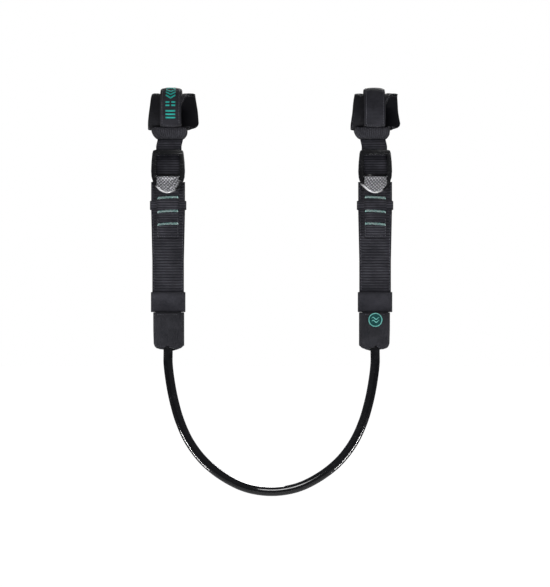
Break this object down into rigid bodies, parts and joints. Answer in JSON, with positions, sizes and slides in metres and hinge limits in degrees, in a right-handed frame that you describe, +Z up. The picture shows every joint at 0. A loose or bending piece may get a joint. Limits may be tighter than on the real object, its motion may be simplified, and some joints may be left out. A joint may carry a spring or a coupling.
{
  "type": "windsurf harness line",
  "caption": "Adjustable windsurf harness line: hook-and-loop boom cuffs, cam-buckle straps and a U-shaped plastic tube over rope.",
  "frame": {"origin": "on the boom's axis, midway between the centre lines of the left and right straps, as the line hangs from a boom", "axes": "+X along the boom towards the right-hand strap, +Z up, -Y the front, where the buckles' thumb pads face"},
  "size_m": [0.2512, 0.043, 0.4067],
  "materials": {
    "grip_lining": "matt closed-cell neoprene with a fine grip texture",
    "cuff_fabric": "matt woven nylon over foam",
    "black_webbing": "ribbed nylon webbing, faint sheen",
    "wide_webbing": "wide nylon webbing with fine cross ribs",
    "strap_backing": "smooth woven backing",
    "elastic_band": "dense elastic with fine lengthwise ribs",
    "sleeve_fabric": "smooth coated nylon",
    "loop_pile": "fuzzy loop pile",
    "hook_tape": "hook tape",
    "whipping_tape": "heat-shrunk whipping",
    "teal_thread": "zigzag bartack thread",
    "teal_print": "soft printed rubber on a black ground",
    "moulded_black": "glossy glass-filled nylon",
    "silver_pad": "silver-grey textured thumb pad",
    "steel": "stainless steel",
    "black_tube": "glossy extruded polyurethane tube",
    "rope_fibre": "braided low-stretch rope"
  },
  "bodies": {
    "line": {"left_buckle_frame": "moulded_black", "left_cam_pin": "steel", "left_cam_spring": "steel", "left_anchor_bar": "steel", "left_anchor_webbing": "black_webbing", "left_strap_front": "wide_webbing", "left_strap_back": "strap_backing", "left_upper_keeper": "black_webbing", "left_end_sleeve": "sleeve_fabric", "left_rope_whipping": "whipping_tape", "left_bartack_upper": "teal_thread", "left_bartack_middle": "teal_thread", "left_bartack_lower": "teal_thread", "right_buckle_frame": "moulded_black", "right_cam_pin": "steel", "right_cam_spring": "steel", "right_anchor_bar": "steel", "right_anchor_webbing": "black_webbing", "right_strap_front": "wide_webbing", "right_strap_back": "strap_backing", "right_upper_keeper": "black_webbing", "right_end_sleeve": "sleeve_fabric", "right_rope_whipping": "whipping_tape", "right_bartack_upper": "teal_thread", "right_bartack_middle": "teal_thread", "right_bartack_lower": "teal_thread", "right_sleeve_badge": "teal_print", "line_tube": "black_tube", "core_rope": "rope_fibre"},
    "left_cuff": {"left_cuff_lining": "grip_lining", "left_cuff_panel": "cuff_fabric", "left_boom_strap": "black_webbing", "left_loop_patch": "loop_pile", "left_neck_collar": "black_webbing", "left_adjuster_webbing": "black_webbing", "left_tail_fold": "black_webbing"},
    "left_flap": {"left_hook_patch": "hook_tape", "left_closure_flap": "black_webbing", "left_flap_label": "teal_print"},
    "left_lever": {"left_cam_lever": "moulded_black", "left_thumb_pad": "silver_pad"},
    "left_keeper": {"left_lower_keeper": "elastic_band"},
    "right_cuff": {"right_cuff_lining": "grip_lining", "right_cuff_panel": "cuff_fabric", "right_boom_strap": "black_webbing", "right_loop_patch": "loop_pile", "right_neck_collar": "black_webbing", "right_adjuster_webbing": "black_webbing", "right_tail_fold": "black_webbing"},
    "right_flap": {"right_hook_patch": "hook_tape", "right_closure_flap": "black_webbing"},
    "right_lever": {"right_cam_lever": "moulded_black", "right_thumb_pad": "silver_pad"},
    "right_keeper": {"right_lower_keeper": "elastic_band"}
  },
  "joints": [
    {"name": "left_length_slide", "type": "slide", "parent": "line", "child": "left_cuff", "axis": [0, 0, 1], "range_m": [-0.008, 0.07]},
    {"name": "left_cam_lever_hinge", "type": "hinge", "parent": "line", "child": "left_lever", "pos_m": [-0.1034, -0.0046, -0.0647], "axis": [1, 0, 0], "range_deg": [-50, 0], "stiffness_Nm_per_rad": 0.12, "springref_deg": 28.65},
    {"name": "left_flap_hinge", "type": "hinge", "parent": "left_cuff", "child": "left_flap", "pos_m": [-0.1012, 0.00686, 0.02111], "axis": [1, 0, 0], "range_deg": [-100, 0]},
    {"name": "left_keeper_slide", "type": "slide", "parent": "line", "child": "left_keeper", "axis": [0, 0, 1], "range_m": [0, 0.03]},
    {"name": "right_length_slide", "type": "slide", "parent": "line", "child": "right_cuff", "axis": [0, 0, 1], "range_m": [-0.008, 0.07]},
    {"name": "right_cam_lever_hinge", "type": "hinge", "parent": "line", "child": "right_lever", "pos_m": [0.1034, -0.0046, -0.0647], "axis": [1, 0, 0], "range_deg": [-50, 0], "stiffness_Nm_per_rad": 0.12, "springref_deg": 28.65},
    {"name": "right_flap_hinge", "type": "hinge", "parent": "right_cuff", "child": "right_flap", "pos_m": [0.1012, 0.00686, 0.02111], "axis": [1, 0, 0], "range_deg": [-100, 0]},
    {"name": "right_keeper_slide", "type": "slide", "parent": "line", "child": "right_keeper", "axis": [0, 0, 1], "range_m": [0, 0.03]}
  ]
}
